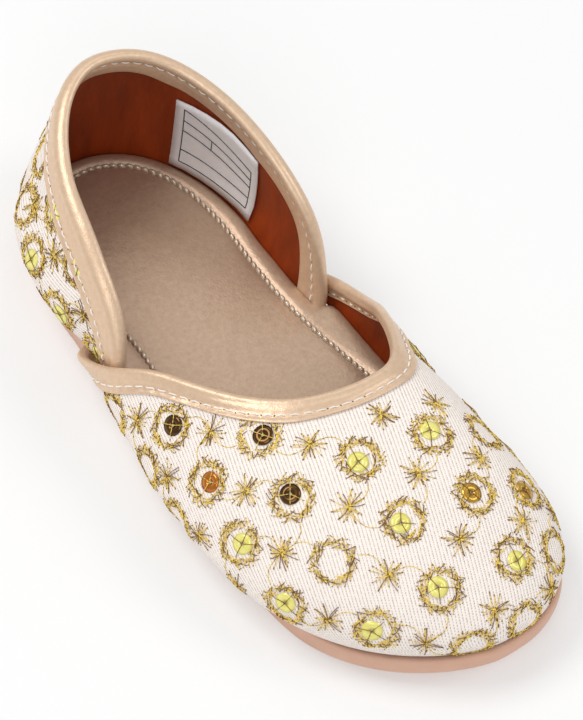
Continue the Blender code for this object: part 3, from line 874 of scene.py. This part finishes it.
def fill_to_lining(points):
    """Moves the footbed's edge out to the lining, as its foam fills the shoe."""
    walls = [skin_of(bpy.data.objects[name]) for name in ("vamp_cloth", "quarter_cloth")]
    edge = along_footbed(0.0)
    out = outward(EDGE_ROUND)
    room = []
    for place, way in zip(edge, out):
        place[2] = sole_top(share_at(place[1] - PLACE[1])) + INSOLE_THICKNESS - 0.8 * MM
        hits = [wall.ray_cast(Vector(place), Vector((*way, 0)), FILL_REACH)[3] for wall in walls]
        room.append(min([h for h in hits if h is not None], default=0.0))
    room = np.clip(np.array(room) - FILL_SLACK, 0, FILL_MOST)
    room = eased(np.min([np.roll(room, k) for k in range(-2, 3)], axis=0), 4)
    near, _ = nearest(edge, points)
    away = np.linalg.norm(points[:, :2] - edge[near, :2], axis=1)
    push = room[near] * np.exp(-(away / FILL_SPREAD) ** 2)
    return points + np.column_stack([out[near] * push[:, None], 0 * push])


def bead_line(skin):
    """The line that the beads follow, on top of the footbed."""
    hits = [skin.ray_cast(Vector(p), Vector((0, 0, -1)))[0] for p in along_footbed(INSOLE_RIM, 60)]
    return np.array([hit for hit in hits if hit is not None])


class MOJARI_OT_upper(bpy.types.Operator):
    """Vamp and quarter in ribbed cotton with a brown lining"""
    bl_idname = "mojari.upper"
    bl_label = "Upper"

    def execute(self, context):
        cotton, lining = ribbed_cotton(colours()), brushed_lining()
        for source, name in (("vamp", "vamp_cloth"), ("quarter", "quarter_cloth")):
            piece = soft_copy(source, name)
            mesh = piece.data
            dress(mesh, cotton, lining)
            paint_lining(mesh, name)
            crease(mesh)
            lay_weave(mesh, name)
        return {"FINISHED"}


def section_middle(y):
    """A point inside the upper, over the sole, at a y of the part's frame."""
    kept = np.clip(share_at(y - PLACE[1]), 0.13, 0.86)
    return np.stack([spine_x(kept), LENGTH / 2 - kept * LENGTH, np.full_like(kept, 14 * MM)], -1) + PLACE


def paint_lining(mesh, name):
    """Faces that look at the middle of the shoe are lining, and so is the quarter's end under the vamp."""
    centres, facing = vectors_of(mesh.polygons, "center"), vectors_of(mesh.polygons, "normal")
    share = share_at(centres[:, 1] - PLACE[1])
    way = section_middle(centres[:, 1]) - centres
    inside = (way * facing).sum(axis=1) > -0.3 * np.linalg.norm(way, axis=1)
    if name == "quarter_cloth":
        inside |= (share > 0.34) & (facing[:, 2] > 0.2)
    mesh.polygons.foreach_set("material_index", inside.astype(np.int32))


def crease(mesh):
    """Soft troughs and ridges as listed: share along and climb of both ends, width, depth."""
    points = coordinates(mesh)
    into = unit(section_middle(points[:, 1]) - points)
    for side, share0, u0, share1, u1, width, depth in CREASES:
        k = np.linspace(0, 1, 24)
        line = wall(round_at(side, share0 + (share1 - share0) * k), u0 + (u1 - u0) * k)
        away = np.min(np.linalg.norm(points[:, None] - line[None], axis=-1), axis=1)
        points += into * (depth * np.exp(-(away / width) ** 2))[:, None]
    move_points(mesh, points)


# side, share and climb at the start, share and climb at the end, width, depth (a ridge is negative)
CREASES = (
    (OUTER, 0.52, 0.52, 0.60, 0.10, 4.5 * MM, 0.5 * MM),
    (OUTER, 0.47, 0.42, 0.50, 0.08, 4.0 * MM, 0.4 * MM),
    (OUTER, 0.62, 0.60, 0.70, 0.20, 6.0 * MM, -0.4 * MM),
    (INNER, 0.60, 0.55, 0.66, 0.12, 4.5 * MM, 0.5 * MM),
    (INNER, 0.70, 0.60, 0.76, 0.20, 6.0 * MM, 0.3 * MM),
    (OUTER, 0.05, 0.35, 0.20, 0.12, 5.0 * MM, 0.5 * MM),
    (OUTER, 0.11, 0.14, 0.26, 0.10, 7.0 * MM, -2.2 * MM),
    (OUTER, 0.03, 0.30, 0.13, 0.28, 8.0 * MM, 1.1 * MM),
    (INNER, 0.06, 0.35, 0.10, 0.08, 4.0 * MM, 0.5 * MM),
    (INNER, 0.22, 0.25, 0.30, 0.08, 5.0 * MM, 0.4 * MM),
)


def lay_weave(mesh, name):
    """Stores how far each point lies across the ribs and along them, and its height over the sole."""
    points = coordinates(mesh)
    if name == "quarter_cloth":
        across, along = points[:, 2] * 1.04, points[:, 1] + points[:, 0] * 0.3
    else:
        across, along = rib_reach(mesh, points) - 0.3 * points[:, 1], points[:, 1]
    weave = mesh.attributes.new("weave", "FLOAT_VECTOR", "POINT")
    weave.data.foreach_set("vector", np.column_stack([across, along, 0 * along]).ravel())
    # Only the toe's hem gets the painted dark line of shade: behind the ball the height is raised out of
    # reach
    hem = mesh.attributes.new("hem", "FLOAT", "POINT")
    share = share_at(points[:, 1] - PLACE[1])
    raised = 8 * MM * (1 - smoothstep(0.45, 0.62, share))
    hem.data.foreach_set("value", points[:, 2] - sole_top(np.clip(share, 0, 1)) + raised)


HUB_HEIGHT, HUB_REACH = 10 * MM, 90 * MM


def rib_reach(mesh, points):
    """Distance over the cloth from the ridge of the vamp, measured by rays to a hub on each section."""
    skin = BVHTree.FromPolygons([tuple(p) for p in points], [tuple(p.vertices) for p in mesh.polygons])
    ys = np.linspace(points[:, 1].min() + 0.5 * MM, points[:, 1].max(), 90)
    turns = np.linspace(-2.0, 2.0, 121)
    reach = np.zeros((len(ys), len(turns)))
    for i, y in enumerate(ys):
        share = share_at(y - PLACE[1])
        x = float(spine_x(np.clip(share, 0, 1))) + PLACE[0]
        radii = []
        hub = Vector((x, y, HUB_HEIGHT))
        for t in turns:
            way = Vector((math.sin(t), 0, math.cos(t)))
            hit = skin.ray_cast(hub + way * HUB_REACH, -way, HUB_REACH)[0]
            radii.append(np.nan if hit is None else (hit - hub).length)
        radii = np.array(radii)
        known = ~np.isnan(radii)
        radii = np.interp(turns, turns[known], radii[known]) if known.any() else np.full(len(turns), 0.02)
        spots = np.stack([radii * np.sin(turns), radii * np.cos(turns)], -1)
        run = run_along(spots)
        reach[i] = run - np.interp(0.0, turns, run)
    share = share_at(points[:, 1] - PLACE[1])
    x = spine_x(np.clip(share, 0, 1)) + PLACE[0]
    angle = np.arctan2(points[:, 0] - x, points[:, 2] - HUB_HEIGHT)
    fi = np.clip((points[:, 1] - ys[0]) / (ys[1] - ys[0]), 0, len(ys) - 1.001)
    fj = np.clip((angle - turns[0]) / (turns[1] - turns[0]), 0, len(turns) - 1.001)
    i, j = fi.astype(int), fj.astype(int)
    u, v = fi - i, fj - j
    return ((reach[i, j] * (1 - v) + reach[i, j + 1] * v) * (1 - u)
            + (reach[i + 1, j] * (1 - v) + reach[i + 1, j + 1] * v) * u)


class MOJARI_OT_bindings(bpy.types.Operator):
    """Leatherette bindings at the throat and collar, pulled in by their stitches"""
    bl_idname = "mojari.bindings"
    bl_label = "Bindings"

    def execute(self, context):
        tape = champagne_leatherette("binding_leatherette", "#D2AE8C", "#EDD2B6", 0.35, 0.36, 0.35 * MM)
        for source, name, seam, pitch in (
                ("vamp_binding", "throat_binding", throat_seam, sizes().throat_pitch),
                ("quarter_binding", "collar_binding", collar_seam, sizes().collar_pitch)):
            piece = soft_copy(source, name)
            dress(piece.data, tape)
            crease(piece.data)
            pull_in(piece.data, seam, pitch)
        return {"FINISHED"}


OUTSIDE, INSIDE = 0, 1
SEAM_STEPS = 8                      # points to a stitch
VALLEY_DEPTH, VALLEY_FLOOR, VALLEY_SIDE = 0.38 * MM, 0.4 * MM, 0.7 * MM


def pull_in(mesh, seam, pitch):
    """Presses a valley into both faces of a binding along its stitches, deeper at each hole."""
    points, out = coordinates(mesh), normals(mesh)
    middle = section_middle(points[:, 1])
    outside = ((middle - points) * out).sum(axis=1) < 0
    for face, touched in ((OUTSIDE, outside), (INSIDE, ~outside)):
        near, away = nearest(even_points(seam(face), pitch / SEAM_STEPS), points)
        depth = VALLEY_DEPTH * np.exp(-(np.maximum(away - VALLEY_FLOOR, 0) / VALLEY_SIDE) ** 2)
        beat = 1 + 0.4 * np.cos(near / SEAM_STEPS * 2 * math.pi)
        points -= out * (depth * beat * touched)[:, None]
    move_points(mesh, points)


def throat_seam(face):
    """Line of the throat's stitches, on the outer or the inner face of the binding."""
    if face == OUTSIDE:
        return along_throat(3.1 * MM, -(GAP + TAPE))
    return along_throat(2.4 * MM, VAMP_WALL + GAP + TAPE)


def collar_seam(face):
    """The same for the collar's stitches."""
    if face == OUTSIDE:
        return along_collar(4.9 * MM, -(GAP + TAPE))
    return along_collar(2.0 * MM, QUARTER_WALL + GAP + TAPE)


def needle_holes(skin, line, pitch):
    """Dark plugs between the stitches: painted shade for the insides of the needle holes."""
    holes = []
    for p in even_points(line, pitch)[1:-1]:
        place, normal, _, _ = skin.find_nearest(Vector(p))
        holes.append([(place + normal * rise * MM, 0.24 * MM) for rise in (-0.2, 0.03)])
    return holes


# Along a stitch: share of its length, share of its lift, share of its radius
STITCH_FORM = ((0.0, -0.6, 0.7), (0.15, 0.5, 1.0), (0.5, 1.0, 1.05), (0.85, 0.5, 1.0), (1.0, -0.6, 0.7))


def running_stitches(skin, line, pitch, radius, lift, share):
    """Stitches that lie on a skin along a line, each a share of the pitch long."""
    threads = []
    line = even_points(line, pitch)
    for start, end in zip(line, line[1:]):
        start, end = Vector(start), Vector(end)
        threads.append([(onto(skin, start + (end - start) * (0.5 + (k - 0.5) * share), lift * up),
                         radius * wide) for k, up, wide in STITCH_FORM])
    return threads


# Along a bead: share of its length, mm to the side, mm up, radius in mm
BEAD_FORM = ((0.02, -0.3, 0.0, 0.25), (0.3, -0.15, 0.4, 0.6), (0.7, 0.15, 0.4, 0.6), (0.98, 0.3, 0.0, 0.25))


class MOJARI_OT_seams(bpy.types.Operator):
    """White running stitches on the bindings and the bead line round the footbed"""
    bl_idname = "mojari.seams"
    bl_label = "Seams"

    def execute(self, context):
        white = cotton_thread("cotton_thread", "#F1EADF", "#FFFFFF")
        threads, holes = [], []
        for name, seam, pitch, shares in (
                ("throat_binding", throat_seam, sizes().throat_pitch, (0.78, 0.35)),
                ("collar_binding", collar_seam, sizes().collar_pitch, (0.72, 0.78))):
            for face in (OUTSIDE, INSIDE):
                skin = skin_facing(bpy.data.objects[name], face == OUTSIDE)
                threads += running_stitches(skin, seam(face), pitch, 0.20 * MM, 0.16 * MM, shares[face])
                holes += needle_holes(skin, seam(face), pitch)
        thread_object("white_stitches", threads, white)
        # Painted shade: dark plugs stand for the shaded insides of the needle holes
        thread_object("needle_holes", holes, plain_dark("needle_hole_shade", "#5A4230"))
        skin = skin_of(bpy.data.objects["footbed"])
        silver = champagne_leatherette("bead_film", "#C9B59B", "#F4E9DA", 0.5, 0.3, 0.3 * MM)
        beads = []
        line = even_points(bead_line(skin), sizes().bead_pitch, closed=True)
        for start, end in zip(line, line[1:]):
            start, end = Vector(start), Vector(end)
            side = (end - start).cross(Vector((0, 0, 1))).normalized()
            beads.append([(onto(skin, start + (end - start) * k + side * aside * MM, up * MM), radius * MM)
                          for k, aside, up, radius in BEAD_FORM])
        thread_object("bead_line", beads, silver)
        return {"FINISHED"}


def skin_facing(obj, outside):
    """Search tree over the faces that look away from the middle of the shoe, or towards it."""

    def looks_away(face):
        return (face.center - Vector(section_middle(face.center[1]))).dot(face.normal) > 0

    return skin_of(obj, lambda face: looks_away(face) == outside)


class MOJARI_OT_embroidery(bpy.types.Operator):
    """Gold wreaths, bursts, vines and sequins"""
    bl_idname = "mojari.embroidery"
    bl_label = "Embroidery"

    def execute(self, context):
        rng = random.Random(7)
        gold = zari_thread(colours())
        # Umber thread for knots and sequin threads, and for stitches painted as the gold's shade
        umber = cotton_thread("umber_thread", "#5C3804", "#986A12")
        foils = {"lemon": sequin_foil("lemon_foil", "#E8DC5E", "#F8F19A", 0.1, 0.22),
                 "dark": sequin_foil("bronze_foil", "#3A2408", "#6E4A16", 0.8, 0.2),
                 "amber": sequin_foil("amber_foil", "#9A4E12", "#D98A2B", 0.6, 0.2),
                 "gold": sequin_foil("gold_foil", "#A87A20", "#E0B24A", 0.6, 0.2)}
        discs = {kind: bmesh.new() for kind in foils}
        for part, *charts in (("vamp", VAMP_WREATHS, VAMP_BURSTS),
                              ("quarter", QUARTER_WREATHS, QUARTER_BURSTS)):
            threads, umber_and_shade_threads = embroider(bpy.data.objects[part + "_cloth"], charts, discs, rng)
            thread_object(part + "_zari", threads, gold)
            thread_object(part + "_knots", umber_and_shade_threads, umber)
        for kind, bm in discs.items():
            mesh = bpy.data.meshes.new(kind + "_sequins")
            bm.to_mesh(mesh)
            bm.free()
            dress(mesh, foils[kind])
            obj = new_object(kind + "_sequins", mesh)
            thick = obj.modifiers.new("thick", "SOLIDIFY")
            thick.thickness = 0.1 * MM
            bake_modifiers(obj)
            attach(obj, "root")
        return {"FINISHED"}


def embroider(cloth, charts, discs, rng):
    """Gold and dark threads of all the motifs on one piece of cloth; adds their sequins to the discs."""
    skin = skin_of(cloth, lambda face: face.material_index == 0)
    bands = [skin_of(bpy.data.objects[name]) for name in ("throat_binding", "collar_binding")]

    def covered(point):
        over_sole = point.z - float(sole_top(np.clip(share_at(point.y - PLACE[1]), 0, 1)))
        return over_sole < HEM_CLEARANCE or any(band.find_nearest(point, SEAM_CLEARANCE)[0] is not None
                                                for band in bands)

    # Dark threads: knots, sequin threads and stitches of painted shade
    threads, umber_and_shade_threads = [], []
    wreaths, bursts = (charted_spots(skin, chart) for chart in charts)
    fill_spots(skin, cloth, wreaths, bursts, rng, covered)
    for spot in wreaths:
        wreath_threads(spot, rng, sizes(), threads, umber_and_shade_threads)
        if spot.kind != "none":
            middle, angle = sequin_mesh(discs[spot.kind], spot, rng, sizes())
            held = threads if spot.kind in ("dark", "amber") else umber_and_shade_threads
            held += sequin_threads(spot, middle, angle, rng, sizes())
        near = sorted(bursts, key=lambda burst: (burst.point - spot.point).length)
        for burst, bow in zip(near, (-VINE_BOW, VINE_BOW)):
            if (burst.point - spot.point).length < VINE_REACH:
                vine = vine_thread(spot, burst, bow, sizes(), skin)
                threads += [vine] if len(vine) > 1 else []
    for spot in bursts:
        burst_threads(spot, rng, sizes(), threads, umber_and_shade_threads)
    return threads, umber_and_shade_threads


class MOJARI_OT_label(bpy.types.Operator):
    """Woven label on the lining, left without words"""
    bl_idname = "mojari.label"
    bl_label = "Label"

    def execute(self, context):
        label = soft_copy("size_label", "woven_label", 1, simple=True)
        dress(label.data, label_satin())
        skin = skin_facing(label, False)
        rules = []
        for ends in LABEL_RULES:
            rule = []
            for along, height in np.linspace(*ends, 9):
                a = round_at_girth(INNER, LABEL_START + LABEL_LENGTH * along)
                place = quarter_point(INNER, a, LABEL_FOOT + height * MM, QUARTER_WALL + 4 * GAP)
                rule.append((onto(skin, place, 0.03 * MM), 0.15 * MM))
            rules.append(rule)
        thread_object("label_rules", rules, plain_dark("printing_ink", "#35312F"))
        return {"FINISHED"}


LABEL_FOOT = 11.9 * MM              # height of the label's lower edge
# Empty ruled boxes. Both ends of each rule: share of the label's length, mm over its foot
LABEL_RULES = (((0.1, 2.5), (0.92, 2.5)), ((0.1, 23.5), (0.92, 16.5)), ((0.1, 2.5), (0.1, 23.5)),
               ((0.92, 2.5), (0.92, 16.5)), ((0.1, 18.8), (0.92, 13.2)), ((0.1, 14.6), (0.92, 10.2)),
               ((0.1, 7.0), (0.92, 6.2)), ((0.42, 12.8), (0.42, 16.6)))


class MOJARI_OT_stage(bpy.types.Operator):
    """Pale floor, soft lights and the photograph's camera"""
    bl_idname = "mojari.stage"
    bl_label = "Stage"

    def execute(self, context):
        scene = context.scene
        scene.view_settings.view_transform = "Standard"
        mesh = bpy.data.meshes.new("floor")
        bm = bmesh.new()
        bmesh.ops.create_grid(bm, x_segments=1, y_segments=1, size=6.0)
        bm.to_mesh(mesh)
        bm.free()
        dress(mesh, light_table())
        floor = new_object("floor", mesh)
        world = bpy.data.worlds.new("studio")
        world.use_nodes = True
        background = world.node_tree.nodes["Background"]
        background.inputs["Color"].default_value = (0.97, 0.985, 1.0, 1)
        background.inputs["Strength"].default_value = 0.48
        scene.world = world
        for name, place, size, power, tint in STUDIO_LIGHTS:
            light = bpy.data.lights.new(name, "AREA")
            light.shape, light.size, light.energy = "DISK", size, power
            light.color = linear(tint)[:3]
            lamp = new_object(name, light)
            lamp.location = place
            lamp.rotation_euler = (Vector(LIGHTS_AIM) - Vector(place)).to_track_quat("-Z", "Y").to_euler()
        right, up, back, place = view_axes()
        camera = new_object("camera", bpy.data.cameras.new("camera"))
        camera.matrix_world = Matrix.Translation(place) @ Matrix((right, up, back)).transposed().to_4x4()
        # The sensor's width falls on the frame's long side
        camera.data.lens = VIEW_FOCUS / PHOTO_HEIGHT * camera.data.sensor_width
        camera.data.clip_end = 20.0
        scene.camera = camera
        return {"FINISHED"}


LIGHTS_AIM = (0, 0, 0.02)
# Name, place and diameter in metres, watts, tint
STUDIO_LIGHTS = (("key", (-0.7, 0.8, 1.7), 1.0, 16.0, "#FFFDFA"),
                 ("fill", (-1.1, -0.9, 1.4), 1.2, 9.0, "#FFFFFF"),
                 ("side", (1.1, -0.9, 1.4), 1.0, 7.0, "#FFFFFF"),
                 ("back", (0.85, 0.9, 1.6), 1.0, 3.0, "#FFFFFF"))


class MOJARI_PT_panel(bpy.types.Panel):
    """Lists the pieces and their settings"""
    bl_label = "Mojari shoe"
    bl_idname = "MOJARI_PT_panel"
    bl_space_type = "VIEW_3D"
    bl_region_type = "UI"
    bl_category = "Mojari"

    def draw(self, context):
        for group in (context.scene.mojari_sizes, context.scene.mojari_colours):
            box = self.layout.box()
            for key in group.__annotations__:
                box.prop(group, key)
        for operator in OPERATORS:
            self.layout.operator(operator.bl_idname)


OPERATORS = (MOJARI_OT_sole, MOJARI_OT_footbed, MOJARI_OT_upper, MOJARI_OT_bindings, MOJARI_OT_seams,
             MOJARI_OT_embroidery, MOJARI_OT_label, MOJARI_OT_stage)
CLASSES = (MojariSizes, MojariColours, *OPERATORS, MOJARI_PT_panel)


def register():
    for cls in CLASSES:
        bpy.utils.register_class(cls)
    bpy.types.Scene.mojari_sizes = PointerProperty(type=MojariSizes)
    bpy.types.Scene.mojari_colours = PointerProperty(type=MojariColours)


def unregister():
    del bpy.types.Scene.mojari_sizes
    del bpy.types.Scene.mojari_colours
    for cls in reversed(CLASSES):
        bpy.utils.unregister_class(cls)


def main():
    register()
    bpy.ops.mojari.sole()
    bpy.ops.mojari.upper()
    bpy.ops.mojari.footbed()
    bpy.ops.mojari.bindings()
    bpy.ops.mojari.seams()
    bpy.ops.mojari.embroidery()
    bpy.ops.mojari.label()
    bpy.ops.mojari.stage()


if __name__ == "__main__":
    main()
